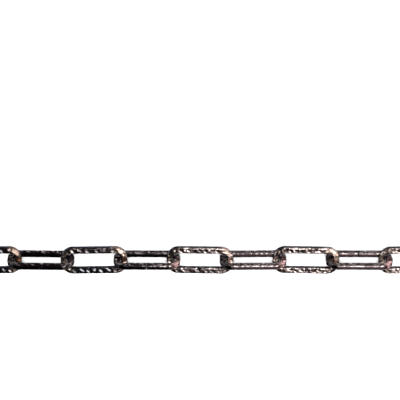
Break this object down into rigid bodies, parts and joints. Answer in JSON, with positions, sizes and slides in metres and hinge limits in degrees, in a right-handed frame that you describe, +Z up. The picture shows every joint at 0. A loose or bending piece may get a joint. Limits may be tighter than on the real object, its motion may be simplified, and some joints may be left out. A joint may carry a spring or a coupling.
{
  "type": "length of hammered iron chain",
  "caption": "Straight length of dark hammered chain whose long, narrow links of flattened wire lean by turns to either side.",
  "frame": {"origin": "centre of the chain's footprint on the floor", "axes": "+X along the chain, +Z up, +Y across it towards the raised bars of the flatter links"},
  "size_m": [0.5082, 0.0172, 0.0168],
  "materials": {
    "blackened_iron": "blackened, hammered on both faces, rubbed back to coppery and bright metal on crowns and edges"
  },
  "bodies": {
    "link_01": {"link_01": "blackened_iron"},
    "link_02": {"link_02": "blackened_iron"},
    "link_03": {"link_03": "blackened_iron"},
    "link_04": {"link_04": "blackened_iron"},
    "link_05": {"link_05": "blackened_iron"},
    "link_06": {"link_06": "blackened_iron"},
    "link_07": {"link_07": "blackened_iron"},
    "link_08": {"link_08": "blackened_iron"},
    "link_09": {"link_09": "blackened_iron"},
    "link_10": {"link_10": "blackened_iron"},
    "link_11": {"link_11": "blackened_iron"},
    "link_12": {"link_12": "blackened_iron"},
    "link_13": {"link_13": "blackened_iron"},
    "link_14": {"link_14": "blackened_iron"},
    "link_15": {"link_15": "blackened_iron"}
  },
  "joints": [
    {"name": "link_01_to_link_02", "type": "hinge", "parent": "link_01", "child": "link_02", "pos_m": [-0.21415, 0, 0.00838], "axis": [0, 0.5225, -0.8526], "range_deg": [-130, 130]},
    {"name": "link_02_to_link_03", "type": "hinge", "parent": "link_02", "child": "link_03", "pos_m": [-0.18085, 0, 0.00546], "axis": [0, 0.8829, 0.4695], "range_deg": [-130, 130]},
    {"name": "link_03_to_link_04", "type": "hinge", "parent": "link_03", "child": "link_04", "pos_m": [-0.14755, 0, 0.00838], "axis": [0, -0.5225, 0.8526], "range_deg": [-130, 130]},
    {"name": "link_04_to_link_05", "type": "hinge", "parent": "link_04", "child": "link_05", "pos_m": [-0.11425, 0, 0.00546], "axis": [0, -0.8829, -0.4695], "range_deg": [-130, 130]},
    {"name": "link_05_to_link_06", "type": "hinge", "parent": "link_05", "child": "link_06", "pos_m": [-0.08095, 0, 0.00838], "axis": [0, 0.5225, -0.8526], "range_deg": [-130, 130]},
    {"name": "link_06_to_link_07", "type": "hinge", "parent": "link_06", "child": "link_07", "pos_m": [-0.04765, 0, 0.00546], "axis": [0, 0.8829, 0.4695], "range_deg": [-130, 130]},
    {"name": "link_07_to_link_08", "type": "hinge", "parent": "link_07", "child": "link_08", "pos_m": [-0.01435, 0, 0.00838], "axis": [0, -0.5225, 0.8526], "range_deg": [-130, 130]},
    {"name": "link_08_to_link_09", "type": "hinge", "parent": "link_08", "child": "link_09", "pos_m": [0.01895, 0, 0.00546], "axis": [0, -0.8829, -0.4695], "range_deg": [-130, 130]},
    {"name": "link_09_to_link_10", "type": "hinge", "parent": "link_09", "child": "link_10", "pos_m": [0.05225, 0, 0.00838], "axis": [0, 0.5225, -0.8526], "range_deg": [-130, 130]},
    {"name": "link_10_to_link_11", "type": "hinge", "parent": "link_10", "child": "link_11", "pos_m": [0.08555, 0, 0.00546], "axis": [0, 0.8829, 0.4695], "range_deg": [-130, 130]},
    {"name": "link_11_to_link_12", "type": "hinge", "parent": "link_11", "child": "link_12", "pos_m": [0.11885, 0, 0.00838], "axis": [0, -0.5225, 0.8526], "range_deg": [-130, 130]},
    {"name": "link_12_to_link_13", "type": "hinge", "parent": "link_12", "child": "link_13", "pos_m": [0.15215, 0, 0.00546], "axis": [0, -0.8829, -0.4695], "range_deg": [-130, 130]},
    {"name": "link_13_to_link_14", "type": "hinge", "parent": "link_13", "child": "link_14", "pos_m": [0.18545, 0, 0.00838], "axis": [0, 0.5225, -0.8526], "range_deg": [-130, 130]},
    {"name": "link_14_to_link_15", "type": "hinge", "parent": "link_14", "child": "link_15", "pos_m": [0.21875, 0, 0.00546], "axis": [0, 0.8829, 0.4695], "range_deg": [-130, 130]}
  ]
}
